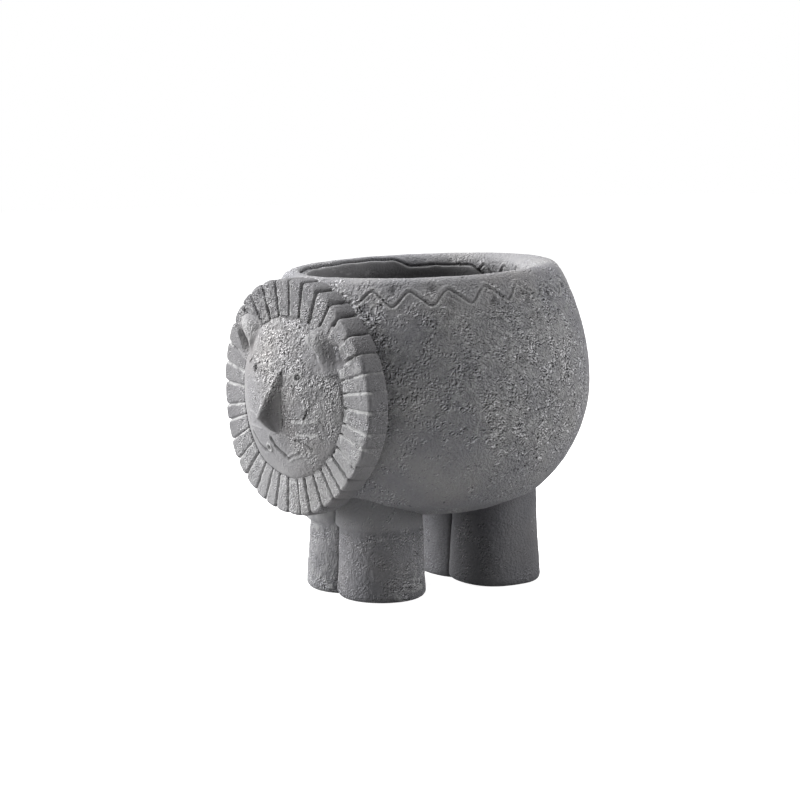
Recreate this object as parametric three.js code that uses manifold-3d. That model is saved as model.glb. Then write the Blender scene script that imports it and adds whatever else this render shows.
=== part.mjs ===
// Flower pot in grey cement: a round bowl on four stubby legs, with a lion's head on its front.
// Millimetres, +Z up. The lion looks along -Y, +X is its left side, and it stands on Z = 0.

import * as THREE from 'three';
import { mergeVertices } from 'three/addons/utils/BufferGeometryUtils.js';
import Module from 'manifold-3d';

const wasm = await Module();
wasm.setup();

// Bowl
const potHeight = 160; // floor to the top of the rim, at the back
const rimLean = 4.4; // the rim's front sits this much lower than its back
const rimForward = 1.5; // the rim's middle lies this far in front of the bowl's axis
const bowlRadius = 82; // widest outside radius
const waistZ = 103; // height of that widest place
const crownRise = 91; // half height of the ellipse that shapes the bowl above the waist
const bellyDrop = 74; // half height of the ellipse that shapes it below the waist
const undersideZ = 41; // flat underside
const wallThickness = 11;
const baseThickness = 12;
const drainRadius = 7;

// Zigzag line drawn into the bowl below the rim, from one side of the head round to the other
const zigzagCount = 24; // peaks that would go round the whole bowl
const zigzagStart = 34.8; // degrees from the lion's front to the first peak
const zigzagDrop = 5.3; // crest of the rim to the peaks
const zigzagHeight = 6.5; // from the valleys to the peaks
const zigzagWidth = 1.8; // of the pressed line

// Sealing coat inside the bowl
const coatThickness = 1.6;
const coatDrop = 4; // mean drop of its ragged top edge below the crest of the rim
const coatRaggedness = 1.6; // how far that edge wanders up and down

// Legs
const footRadius = 21.4;
const footRounding = 3.5;
const legTaper = 2.4; // a leg is this much slimmer in radius at the bowl's underside
const legSpread = 13.4; // leg axis to the lion's middle plane
const legReach = 34.4; // leg axis to the bowl's axis, fore and aft

// Mane
const headZ = 98.4; // middle of the head
const headSink = 4.5; // the mane's front lies this far behind the bowl's foremost point
const maneHalfHeight = 56.6;
const maneHalfWidth = 61.6;
const headSquareness = 0.035; // how far the outline bulges at the corners of its right half, as a share
const leftSquareness = -0.035; // the same for its left half, which is drawn in there
const headBend = 3.6; // the left edge of the mane lies this much further back than its right edge
const maneBand = 17; // width of the ring of locks
const maneFlank = 10; // depth of the ring's outer side
const maneRounding = 2;
const neckRadius = 44; // half height of the neck, behind the mane
const neckUndercut = 8; // depth of the slope from the mane's outer side down to the neck
const neckDepth = 31; // from the mane's front back to the neck's end, inside the bowl's outline
const lockCount = 36;
const grooveWidth = 2.4; // between two locks, at the outer edge
const grooveDepth = 1.2;
const scallopDepth = 1.5; // how far the outer edge draws in at each groove

// Face
const faceInset = 0.8; // the face's edge lies this far behind the mane's front
const domeRise = 11; // height of the face's dome over its edge
const eyeSpread = 18.5; // eye to the middle plane
const eyeRaise = 13; // eye above the middle of the head
const eyeRadius = 2.2;
const mouthSpread = 20; // corner of the smile to the middle plane
const mouthDrop = 19; // middle of the smile below the middle of the head
const mouthSag = 9; // the smile hangs this far below its middle on each side
const mouthWidth = 2.4; // width of the pressed line

// Nose
const noseLength = 31;
const noseHalfWidth = 9; // at the widest place, near the bottom
const noseDepth = 9.5; // how far it stands out from the face there
const noseTipRadius = 2; // at the top, between the eyes
const noseRounding = 6; // height of its slanted underside
const noseDrop = 16; // bottom of the nose below the middle of the head

// Ears
const earTurn = 37; // degrees from the level up to an ear, round the edge of the face
const earHalfWidth = 10;
const earHalfHeight = 10.5;
const earDepth = 7.5; // how far an ear stands out from the mane's front
const earCupRadius = 6.5; // hollow of the ear
const earCupShift = 4.5; // the hollow sits this far outwards

// Fineness and fit
const seat = 0.3; // gap between pieces that are bedded on each other
const turnSteps = 40; // facets round the bowl and the face
const arcSteps = 4; // half the facets along an arc of a profile
const coatArcSteps = 2; // the same for the hidden coat
const legSteps = 24; // facets round a leg
const noseSteps = 4; // facets round the nose: a plane on each side of its ridge, and two that are sunk
const earSteps = 16; // facets round an ear
const lineSteps = 10; // facets along one half of the smile
const pitSteps = 8; // facets round an eye and round the smile's line
const zigzagSteps = 6; // facets round the zigzag's line

// Values worked out from the sizes above
const rimZ = potHeight - rimLean / 2;
const lipRadius = wallThickness / 2;
const lipAngle = Math.asin((rimZ - lipRadius - waistZ) / (crownRise - lipRadius));
const lipCentre = new THREE.Vector2((bowlRadius - lipRadius) * Math.cos(lipAngle), rimZ - lipRadius);
const rimSlope = rimLean / (2 * lipCentre.x);
const headFront = bowlRadius - headSink;
const headBack = headFront - neckDepth;
const headStretch = maneHalfWidth / maneHalfHeight;
const faceRadius = maneHalfHeight - maneBand;
const faceEdge = headFront - faceInset;
const domeRadius = (faceRadius ** 2 + domeRise ** 2) / (2 * domeRise);
const domeCentre = faceEdge + domeRise - domeRadius;
const earAngle = THREE.MathUtils.degToRad(earTurn);

// A closed mesh becomes a solid once its shared corners are merged and collapsed triangles are gone.
function solidOf(geometry) {
  const shell = geometry.clone();
  shell.deleteAttribute('normal');
  shell.deleteAttribute('uv');
  const merged = mergeVertices(shell);
  const corners = merged.index.array;
  const kept = [];
  for (let i = 0; i < corners.length; i += 3) {
    const [a, b, c] = corners.slice(i, i + 3);
    if (a !== b && b !== c && c !== a) kept.push(a, b, c);
  }
  const vertProperties = Float32Array.from(merged.attributes.position.array);
  const triVerts = Uint32Array.from(kept);
  return new wasm.Manifold(new wasm.Mesh({ numProp: 3, vertProperties, triVerts }));
}

function geometryOf(solid) {
  const { vertProperties, triVerts } = solid.getMesh();
  const geometry = new THREE.BufferGeometry();
  geometry.setAttribute('position', new THREE.BufferAttribute(vertProperties, 3));
  geometry.setIndex(new THREE.BufferAttribute(triVerts, 1));
  geometry.computeVertexNormals();
  return geometry;
}

// Turns a profile of (radius, height) about the upright axis.
function revolve(path, steps, detail = arcSteps) {
  return new THREE.LatheGeometry(path.getPoints(detail), steps).rotateX(Math.PI / 2);
}

// Outer side of the bowl, from the underside up to the lip: one elliptic arc below the waist, one above.
// A positive grow moves it outwards.
function addOutside(path, grow) {
  const belly = bellyDrop + grow;
  const start = Math.asin((waistZ - undersideZ + grow) / belly);
  path.lineTo((bowlRadius + grow) * Math.cos(start), undersideZ - grow);
  path.absellipse(0, waistZ, bowlRadius + grow, belly, -start, 0);
  path.absellipse(0, waistZ, bowlRadius + grow, crownRise + grow, 0, lipAngle);
}

// Inner side of the bowl, from the lip down to the floor of the cavity, drawn inwards by inset.
function addInside(path, inset) {
  const radius = bowlRadius - wallThickness - inset;
  const belly = bellyDrop - wallThickness - inset;
  const end = Math.asin((waistZ - undersideZ - baseThickness - inset) / belly);
  path.absellipse(0, waistZ, radius, crownRise - wallThickness - inset, lipAngle, 0, true);
  path.absellipse(0, waistZ, radius, belly, 0, -end, true);
}

// The rim leans: above the waist each level tips up at the back and slips forward, the lip most.
function lean(geometry) {
  const at = geometry.attributes.position;
  for (let i = 0; i < at.count; i += 1) {
    const share = THREE.MathUtils.smoothstep(at.getZ(i), waistZ, rimZ - wallThickness);
    const y = at.getY(i);
    at.setY(i, y - rimForward * share);
    at.setZ(i, at.getZ(i) + rimSlope * share * y);
  }
  return geometry;
}

// A round bar along a line of marks: the cutter of a line that was pressed in.
function lineCutter(marks, width, steps, sides) {
  const section = new THREE.Shape().absarc(0, 0, width / 2, 0, 2 * Math.PI, false);
  const extrudePath = new THREE.CatmullRomCurve3(marks);
  return solidOf(new THREE.ExtrudeGeometry(section, { steps, curveSegments: sides / 2, extrudePath }));
}

// The zigzag on the bowl's outer side. Each stroke has a mark in its middle too, which keeps it on the curve.
function zigzagCutter() {
  const start = THREE.MathUtils.degToRad(zigzagStart);
  const halfStroke = Math.PI / zigzagCount / 2;
  const steps = 2 * Math.floor((Math.PI - start) / halfStroke);
  const marks = [];
  for (let i = 0; i <= steps; i += 1) {
    const turn = start + i * halfStroke;
    const below = 1 - Math.abs(1 - (i % 4) / 2);
    const z = rimZ - zigzagDrop - zigzagHeight * below;
    const radius = bowlRadius * Math.sqrt(1 - ((z - waistZ) / crownRise) ** 2);
    marks.push(new THREE.Vector3(radius * Math.sin(turn), -radius * Math.cos(turn), z));
  }
  return lineCutter(marks, zigzagWidth, steps, zigzagSteps);
}

function makeBowl() {
  const path = new THREE.Path();
  path.moveTo(drainRadius, undersideZ);
  addOutside(path, 0);
  path.absarc(lipCentre.x, lipCentre.y, lipRadius, lipAngle, lipAngle + Math.PI, false);
  addInside(path, 0);
  path.lineTo(drainRadius, undersideZ + baseThickness);
  path.lineTo(drainRadius, undersideZ);
  const bowl = solidOf(revolve(path, turnSteps)).subtract(zigzagCutter());
  return solidOf(lean(geometryOf(bowl)));
}

// The bowl's outer form, filled and grown by the seat: what beds on the bowl is cut back by it.
function makeBowlBed() {
  const path = new THREE.Path();
  path.moveTo(0, undersideZ - seat);
  addOutside(path, seat);
  path.absarc(lipCentre.x, lipCentre.y, lipRadius + seat, lipAngle, Math.PI / 2, false);
  path.lineTo(0, rimZ + seat);
  return solidOf(lean(revolve(path, turnSteps)));
}

// Height of the coat's torn edge round the pot, as a sum of three waves.
function tornEdge(angle) {
  const slow = 0.5 * Math.sin(2 * angle + 0.6);
  const quick = 0.3 * Math.sin(5 * angle) + 0.2 * Math.sin(11 * angle + 1.1);
  return rimZ - coatDrop + coatRaggedness * (slow + quick);
}

// The coat follows the cavity from the drain hole up over the inside of the lip, and is torn off there.
function makeCoat() {
  const back = seat;
  const front = seat + coatThickness;
  const floorZ = undersideZ + baseThickness;
  const path = new THREE.Path();
  path.moveTo(drainRadius, floorZ + front);
  path.lineTo(drainRadius, floorZ + back);
  const outer = new THREE.Path();
  addInside(outer, back);
  for (const point of outer.getPoints(coatArcSteps).reverse()) path.lineTo(point.x, point.y);
  path.absarc(lipCentre.x, lipCentre.y, lipRadius + back, lipAngle + Math.PI, Math.PI / 2, true);
  path.absarc(lipCentre.x, lipCentre.y, lipRadius + front, Math.PI / 2, lipAngle + Math.PI, false);
  addInside(path, front);
  path.lineTo(drainRadius, floorZ + front);
  const coat = solidOf(revolve(path, turnSteps, coatArcSteps));
  const torn = new THREE.CylinderGeometry(lipCentre.x, lipCentre.x, wallThickness * 2, turnSteps);
  torn.rotateX(Math.PI / 2);
  torn.translate(0, 0, rimZ + wallThickness - coatDrop);
  const at = torn.attributes.position;
  for (let i = 0; i < at.count; i += 1) {
    const onEdge = Math.hypot(at.getX(i), at.getY(i)) > lipRadius;
    if (onEdge && at.getZ(i) < rimZ) at.setZ(i, tornEdge(Math.atan2(at.getX(i), -at.getY(i))));
  }
  return solidOf(lean(geometryOf(coat.subtract(solidOf(torn)))));
}

// Sets a form that was turned about an upright axis on the front of the bowl, its axis along -Y.
// Its round outline is widened and swells towards its corners, and its left half bends back.
function onHead(geometry) {
  geometry.rotateX(Math.PI / 2);
  const at = geometry.attributes.position;
  for (let i = 0; i < at.count; i += 1) {
    const swell = 1 + cornerSwell(at.getX(i), at.getZ(i));
    const x = at.getX(i) * swell * headStretch;
    at.setXYZ(i, x, at.getY(i) + bendAt(x), at.getZ(i) * swell);
  }
  return geometry.translate(0, 0, headZ);
}

// Share by which the outline swells in the direction (x, z): nothing along the axes, most at the corners.
function cornerSwell(x, z) {
  const squareness = x > 0 ? leftSquareness : headSquareness;
  return squareness * Math.sin(2 * Math.atan2(z, x)) ** 2;
}

// How far the head bends back at a place x: nothing on its right half, most at its left edge.
function bendAt(x) {
  return (headBend * Math.max(x, 0)) / maneHalfWidth;
}

// Section of the mane as (half height, distance from the bowl's axis): neck, flank, rounded edge, front.
function maneSection(grow) {
  const hole = faceRadius + seat - grow;
  const edge = maneHalfHeight + grow;
  const front = headFront + grow;
  const path = new THREE.Path();
  path.moveTo(hole, headBack);
  path.lineTo(neckRadius + grow, headBack);
  path.lineTo(neckRadius + grow, headFront - maneFlank - neckUndercut - grow);
  path.lineTo(edge, headFront - maneFlank - grow);
  path.lineTo(edge, front - maneRounding);
  path.absarc(edge - maneRounding, front - maneRounding, maneRounding, 0, Math.PI / 2, false);
  path.lineTo(hole, front);
  path.lineTo(hole, headBack);
  return path.getPoints(arcSteps / 2);
}

// The ring is turned with three steps to a lock: the bottom of a groove and its two shoulders.
// At each groove the front is pressed back and the outer edge is drawn in.
function makeMane(bowlBed) {
  const section = maneSection(0);
  const steps = lockCount * 3;
  const lockAngle = (2 * Math.PI) / lockCount;
  const shoulder = grooveWidth / 2 / maneHalfHeight;
  const offsets = [0, shoulder, lockAngle - shoulder];
  const flankBack = headFront - maneFlank;
  const bandMiddle = maneHalfHeight - maneBand / 2;
  const ring = new THREE.LatheGeometry(section, steps);
  const at = ring.attributes.position;
  for (let i = 0; i <= steps; i += 1) {
    const angle = Math.floor(i / 3) * lockAngle + offsets[i % 3];
    const pressed = i % 3 === 0 ? 1 : 0;
    section.forEach((point, j) => {
      const frontShare = THREE.MathUtils.clamp((point.y - flankBack) / maneFlank, 0, 1);
      const edgeShare = THREE.MathUtils.clamp((point.x - bandMiddle) / (maneBand / 2), 0, 1);
      const radius = point.x - pressed * scallopDepth * edgeShare;
      const height = point.y - pressed * grooveDepth * frontShare;
      at.setXYZ(i * section.length + j, radius * Math.sin(angle), height, radius * Math.cos(angle));
    });
  }
  return solidOf(onHead(ring.rotateX(Math.PI / 2))).subtract(bowlBed);
}

function makeManeBed() {
  return solidOf(onHead(new THREE.LatheGeometry(maneSection(seat), turnSteps).rotateX(Math.PI / 2)));
}

// Distance of the dome from the bowl's axis, at a place on the face measured from the head's middle.
function domeAt(x, z) {
  const reach = Math.hypot(x / headStretch, z) / (1 + cornerSwell(x / headStretch, z));
  return domeCentre + Math.sqrt(domeRadius ** 2 - reach ** 2) - bendAt(x);
}

// A round plug in the mane's hole, with a shallow dome as its front.
function facePlug(grow) {
  const rim = Math.acos((faceRadius + grow) / (domeRadius + grow));
  const path = new THREE.Path();
  path.moveTo(0, headBack);
  path.lineTo(faceRadius + grow, headBack);
  path.lineTo(faceRadius + grow, domeCentre + (domeRadius + grow) * Math.sin(rim));
  path.absarc(0, domeCentre, domeRadius + grow, rim, Math.PI / 2, false);
  return solidOf(onHead(revolve(path, turnSteps)));
}

// A ball on the dome, as the cutter of an eye.
function eyeCutter(side) {
  const x = side * eyeSpread;
  const ball = new THREE.SphereGeometry(eyeRadius, pitSteps, pitSteps);
  return solidOf(ball.translate(x, -domeAt(x, eyeRaise), headZ + eyeRaise));
}

// One half of the smile: a line on the dome that leaves the middle, sags and rises again to the corner.
function smileCutter(side) {
  const marks = [];
  for (let i = 0; i <= lineSteps; i += 1) {
    const x = (side * mouthSpread * i) / lineSteps;
    const z = -mouthDrop - mouthSag * Math.sin((Math.PI * i) / lineSteps);
    marks.push(new THREE.Vector3(x, -domeAt(x, z), headZ + z));
  }
  return lineCutter(marks, mouthWidth, lineSteps, pitSteps);
}

function makeFace(bowlBed) {
  let face = facePlug(0).subtract(bowlBed);
  for (const side of [1, -1]) {
    face = face.subtract(eyeCutter(side));
    face = face.subtract(smileCutter(side));
  }
  return face;
}

// A long wedge with a ridge, narrow at the top, half sunk in the face and cut back to it.
function makeNose(faceBed) {
  const path = new THREE.Path();
  path.moveTo(0, 0);
  path.absellipse(0, noseRounding, noseHalfWidth, noseRounding, -Math.PI / 2, 0, false);
  path.lineTo(noseTipRadius, noseLength - noseTipRadius);
  path.absarc(0, noseLength - noseTipRadius, noseTipRadius, 0, Math.PI / 2, false);
  const wedge = revolve(path, noseSteps).scale(1, noseDepth / noseHalfWidth, 1);
  return solidOf(wedge.translate(0, -domeAt(0, -noseDrop), headZ - noseDrop)).subtract(faceBed);
}

// A rounded mound on the border of face and mane, with a round hollow on its outer side.
function makeEar(side, faceBed, maneBed) {
  const mound = new THREE.SphereGeometry(1, earSteps, earSteps / 2);
  mound.scale(earHalfWidth, earDepth, earHalfHeight);
  const cup = new THREE.SphereGeometry(earCupRadius, earSteps, earSteps / 2);
  cup.translate(side * earCupShift, -earDepth, 0);
  const ear = solidOf(mound).subtract(solidOf(cup));
  const level = Math.cos(earAngle);
  const upright = Math.sin(earAngle);
  const reach = faceRadius * (1 + cornerSwell(side * level, upright));
  const x = side * reach * level * headStretch;
  const placed = ear.translate([x, bendAt(x) - headFront, headZ + reach * upright]);
  return placed.subtract(faceBed).subtract(maneBed);
}

// A stubby round leg, rounded at the foot, cut to the bowl, the head and the middle plane.
function makeLeg(side, end, bowlBed, maneBed) {
  const path = new THREE.Path();
  const topRadius = footRadius - (legTaper * waistZ) / undersideZ;
  path.moveTo(0, 0);
  path.lineTo(footRadius - footRounding, 0);
  path.absarc(footRadius - footRounding, footRounding, footRounding, -Math.PI / 2, 0, false);
  path.lineTo(topRadius, waistZ);
  path.lineTo(0, waistZ);
  const stump = solidOf(revolve(path, legSteps).translate(side * legSpread, end * legReach, 0));
  const span = 2 * potHeight;
  const half = new THREE.BoxGeometry(span, span, span).translate((side * (span + seat)) / 2, 0, 0);
  return stump.intersect(solidOf(half)).subtract(bowlBed).subtract(maneBed);
}

// A named piece of cement, whose own origin is at the given place.
function piece(name, solid, origin, color) {
  const geometry = geometryOf(solid).translate(-origin.x, -origin.y, -origin.z);
  const material = new THREE.MeshStandardMaterial({ color, roughness: 0.95, metalness: 0 });
  const mesh = new THREE.Mesh(geometry, material);
  mesh.name = name;
  mesh.position.copy(origin);
  return mesh;
}

const cement = 0x77777a;
const paleCement = 0x828284;
const darkCement = 0x5f5f63;

const bowlBed = makeBowlBed();
const maneBed = makeManeBed();
const faceBed = facePlug(seat);

const pot = new THREE.Group();
pot.add(piece('pot_bowl', makeBowl(), new THREE.Vector3(0, 0, undersideZ), cement));
pot.add(piece('inner_coat', makeCoat(), new THREE.Vector3(0, 0, undersideZ + baseThickness), darkCement));

const head = new THREE.Group();
head.position.set(0, -headFront, headZ);
const headMiddle = new THREE.Vector3(0, -headFront, headZ);
const sides = { left: 1, right: -1 };
head.add(piece('mane_ring', makeMane(bowlBed), headMiddle, paleCement));
head.add(piece('face', makeFace(bowlBed), headMiddle, paleCement));
head.add(piece('nose', makeNose(faceBed), headMiddle, paleCement));
for (const [name, side] of Object.entries(sides)) {
  head.add(piece(`${name}_ear`, makeEar(side, faceBed, maneBed), headMiddle, paleCement));
}
for (const mesh of head.children) mesh.position.sub(headMiddle);

const legs = new THREE.Group();
for (const [endName, end] of Object.entries({ front: -1, rear: 1 })) {
  for (const [sideName, side] of Object.entries(sides)) {
    const foot = new THREE.Vector3(side * legSpread, end * legReach, 0);
    legs.add(piece(`${endName}_${sideName}_leg`, makeLeg(side, end, bowlBed, maneBed), foot, cement));
  }
}

// The whole stands over the origin with the middle of its outline.
const lion = new THREE.Group();
lion.add(pot, head, legs);
const box = new THREE.Box3().setFromObject(lion);
lion.position.y = -(box.min.y + box.max.y) / 2;

export default lion;
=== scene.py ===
# %% [markdown]
# # Lion flower pot in rough grey cement
# A small planter: a round bowl on four stubby legs, with a lion's head on its front. The solid model gives
# every piece its place and size. This notebook dresses the pieces as hand-worked cement. Each surface is
# worked out on a fine grid, lines and pits are pressed into it, and it gets a dry, chalky finish with painted
# highlights and painted shade.

# %% Load the solid model
import math

import bpy
import numpy as np
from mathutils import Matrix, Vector


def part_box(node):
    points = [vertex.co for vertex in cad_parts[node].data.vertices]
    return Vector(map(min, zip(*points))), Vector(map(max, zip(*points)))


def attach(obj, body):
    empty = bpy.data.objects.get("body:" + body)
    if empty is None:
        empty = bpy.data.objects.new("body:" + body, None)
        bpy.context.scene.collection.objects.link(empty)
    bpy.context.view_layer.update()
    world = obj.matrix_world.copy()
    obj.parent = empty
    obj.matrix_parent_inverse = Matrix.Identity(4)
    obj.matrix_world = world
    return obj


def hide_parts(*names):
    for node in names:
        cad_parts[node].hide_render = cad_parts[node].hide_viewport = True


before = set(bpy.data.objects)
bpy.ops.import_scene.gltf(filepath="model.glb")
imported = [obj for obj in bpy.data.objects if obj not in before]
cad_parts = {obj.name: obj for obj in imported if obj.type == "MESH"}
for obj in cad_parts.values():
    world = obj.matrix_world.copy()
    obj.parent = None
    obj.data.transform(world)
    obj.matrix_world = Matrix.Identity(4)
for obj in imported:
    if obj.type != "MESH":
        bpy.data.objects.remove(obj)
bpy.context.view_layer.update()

# %% [markdown]
# ## Sizes
# Lengths are in millimetres, because that is how a potter would measure this pot. They become metres once,
# when a grid becomes a mesh. What the solid model can tell, such as the bowl's radius or the middle of the
# head, is read from its boxes, so the dressed pieces sit exactly where the solids are.

# %% Sizes
MM = 0.001


def box_of(node):
    """Lowest and highest corner of a solid, in millimetres."""
    low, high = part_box(node)
    return np.array(low) / MM, np.array(high) / MM


bowl_low, bowl_high = box_of("pot_bowl")
bowl_radius = (bowl_high[0] - bowl_low[0]) / 2
axis_y = (bowl_high[1] + bowl_low[1]) / 2
underside_z = bowl_low[2]
pot_height = 160.0
rim_lean = 4.4
rim_forward = 1.5
waist_z = 103.0
crown_rise = 91.0
belly_drop = 74.0
wall = 11.0
floor_z = underside_z + 12.0
drain_radius = 7.0

rim_z = pot_height - rim_lean / 2
lip_radius = wall / 2
lip_angle = math.asin((rim_z - lip_radius - waist_z) / (crown_rise - lip_radius))
lip_reach = (bowl_radius - lip_radius) * math.cos(lip_angle)
lip_z = rim_z - lip_radius
rim_slope = rim_lean / (2 * lip_reach)

mane_low, mane_high = box_of("mane_ring")
head_z = (mane_low[2] + mane_high[2]) / 2
mane_half_height = (mane_high[2] - mane_low[2]) / 2
mane_half_width = 61.6
mane_front = axis_y - mane_low[1]
head_stretch = mane_half_width / mane_half_height
head_squareness, left_squareness = 0.035, -0.035
head_bend = 3.6
lock_length = 17.0
face_radius = mane_half_height - lock_length
print("bowl axis at y", round(axis_y, 2), "and head middle at z", round(head_z, 2))

# %% [markdown]
# ## Roughness from numbers
# Cement shows broad lumps from the hands, a sandy stucco where it was dabbed on, and small air holes. All
# three come from random numbers that belong to the cells of a lattice in space. The same cell always gives
# the same number, so the pot looks alike on every run. A seed, any whole number, picks another pattern.

# %% Random numbers on a lattice
cell_factors = (374761393, 668265263, 1440662683)
seed_factor = 97463477
stirs = ((13, 1274126177), (16, 2246822519))
last_shift = 15


def hashed(cells, seed):
    """A number from 0 to 1 for each whole-number cell: its three numbers are multiplied by large odd
    numbers, added, and their bits are stirred."""
    whole = cells.astype(np.int64).astype(np.uint32)
    stirred = np.uint32(seed * seed_factor % 2**32)
    for k, factor in enumerate(cell_factors):
        stirred = stirred + whole[..., k] * np.uint32(factor)
    for shift, factor in stirs:
        stirred = (stirred ^ (stirred >> np.uint32(shift))) * np.uint32(factor)
    return (stirred ^ (stirred >> np.uint32(last_shift))) / (2.0**32 - 1)


def noise(points, wavelength, seed):
    """Smooth hills and hollows from -1 to 1: random heights on a cubic lattice, blended between corners."""
    scaled = points / wavelength
    cell = np.floor(scaled)
    share = scaled - cell
    share = share * share * (3 - 2 * share)
    height = np.zeros(points.shape[:-1])
    for corner in np.ndindex(2, 2, 2):
        weight = np.prod(np.where(np.array(corner) == 1, share, 1 - share), axis=-1)
        height += weight * hashed(cell + np.array(corner), seed)
    return 2 * height - 1


def layered(points, wavelength, seed, layers):
    """Noise with finer noise on it: each layer has half the wavelength and half the height of the last."""
    height = np.zeros(points.shape[:-1])
    for layer in range(layers):
        height += noise(points, wavelength / 2**layer, seed + layer) / 2**layer
    return height


print("noise at one point:", noise(np.full((1, 3), 0.4), 1.0, 1))

# %% Crinkles and air holes
def unit(value):
    """The value, kept between 0 and 1."""
    return np.clip(value, 0, 1)


crest_sharpness = 3.2


def crinkles(points, wavelength, seed):
    """Worm-like ridges from -1 to 1: noise is folded at zero, so that each crossing becomes a crest. A slower
    noise pushes the points about first, by up to half a wavelength, which bends the ridges."""
    push = np.stack([noise(points, 2 * wavelength, seed + k) for k in range(3)], -1)
    folded = np.abs(noise(points + 0.5 * wavelength * push, wavelength, seed + 3))
    return np.clip(1 - crest_sharpness * folded, -1, 1)


def air_holes(points, spacing, radius, share, seed):
    """Round hollows, from 0 outside to 1 at the bottom: a share of the lattice's cells hold one ball each, of
    0.4 to 1.6 times the radius."""
    cell = np.floor(points / spacing)
    depth = np.zeros(points.shape[:-1])
    for step in np.ndindex(3, 3, 3):
        there = cell + np.array(step) - 1
        middle = np.stack([hashed(there, seed + k) for k in range(3)], -1)
        size = radius * (0.4 + 1.2 * hashed(there, seed + 3))
        far = np.linalg.norm(points - (there + middle) * spacing, axis=-1) / size
        held = hashed(there, seed + 4) < share
        depth = np.maximum(depth, np.where(held, unit(1 - far**2), 0))
    return depth


def smooth(low, high, value):
    """Rises smoothly from 0 at low to 1 at high."""
    share = unit((value - low) / (high - low))
    return share * share * (3 - 2 * share)


def bell(distance, width):
    """A round-topped ridge across a line: 1 on it, fading over the width."""
    return np.exp(-((distance / width) ** 2))


print("a step is at", smooth(0, 1, 0.5), "halfway, and a ridge falls to", round(bell(1, 1), 2))

# %% The worked surface
lump_heights = {36: 0.45, 14: 0.22, 6: 0.12}
stucco_wavelength, stucco_height = 3.2, 0.24
hole_spacing, hole_radius, hole_share, hole_depth = 6.0, 0.7, 0.3, 0.6


def hand_worked(points, coarse, seed=0):
    """Height of the worked surface, and its marks. Lumps of three wavelengths add up, with stucco where the
    surface is coarse, less the air holes. Crests are worn pale, and dust lies in the holes."""
    lumps = 0
    for layer, (wavelength, high) in enumerate(lump_heights.items(), 1):
        lumps = lumps + high * noise(points, wavelength, seed + layer)
    stucco = coarse * crinkles(points, stucco_wavelength, seed + 4)
    holes = air_holes(points, hole_spacing, hole_radius, hole_share, seed + 8)
    height = lumps + stucco_height * stucco - hole_depth * holes
    wear_and_highlight = unit(0.9 * stucco - 0.3)
    grime_and_shade = unit(1.3 * holes - 0.2 * stucco - 0.1)
    return height, {"wear_and_highlight": wear_and_highlight, "grime_and_shade": grime_and_shade, "coarse": coarse}


def darken(marks, amount):
    """Adds to the grime and painted shade of a surface, up to 1."""
    marks["grime_and_shade"] = unit(marks["grime_and_shade"] + amount)


def add_wear_and_highlight(marks, amount):
    """Adds to the pale share of a surface, up to 1: chalky wear and painted highlights."""
    marks["wear_and_highlight"] = unit(marks["wear_and_highlight"] + amount)


print("lumps by wavelength, millimetres:", lump_heights)

# %% [markdown]
# ## From grids to meshes
# Every piece is a grid of points: its columns go round, its rows run along. A bowl or a ring also joins its
# last row to its first. A plug such as the face is closed by one point at each end instead. The faces could
# be made one by one, but numbering the grid and shifting the numbers gives all of them at once.

# %% Faces of a grid
def normals_of(grid):
    """Unit normals of a grid whose columns go round: the step to the next column crossed with the step to
    the next row."""
    onward = np.gradient(grid, axis=0)
    sideways = np.roll(grid, -1, 1) - np.roll(grid, 1, 1)
    cross = np.cross(sideways, onward)
    return cross / np.maximum(np.linalg.norm(cross, axis=-1, keepdims=True), 1e-9)


def faces_of(rows, columns, closed):
    """Corner numbers of the quads between neighbouring rows, and of the triangles round both end points."""
    number = np.arange(rows * columns).reshape(rows, columns)
    below = number if closed else number[:-1]
    above = np.roll(number, -1, 0) if closed else number[1:]
    quads = np.stack((below, np.roll(below, -1, 1), np.roll(above, -1, 1), above), -1).reshape(-1, 4)
    if closed:
        return quads, np.zeros((0, 3), int)
    first, last = number[0], number[-1]
    start = np.stack((np.full(columns, rows * columns), np.roll(first, -1), first), -1)
    end = np.stack((np.full(columns, rows * columns + 1), last, np.roll(last, -1)), -1)
    return quads, np.concatenate((start, end))


def volume_of(points, quads, triangles):
    """Volume inside the faces, negative where they point inwards: a sixth of each corner product, summed."""
    halves = np.concatenate((quads[:, (0, 1, 2)], quads[:, (0, 2, 3)], triangles))
    a, b, c = (points[halves[:, k]] for k in range(3))
    return np.einsum("ij,ij->", a, np.cross(b, c)) / 6


print("a ring of 3 rows and 4 columns has", len(faces_of(3, 4, True)[0]), "quads")

# %% From a grid to a piece
def placed(name, content):
    """A new object in the scene, which holds a mesh, a lamp or a camera."""
    made = bpy.data.objects.new(name, content)
    bpy.context.scene.collection.objects.link(made)
    return made


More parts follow.
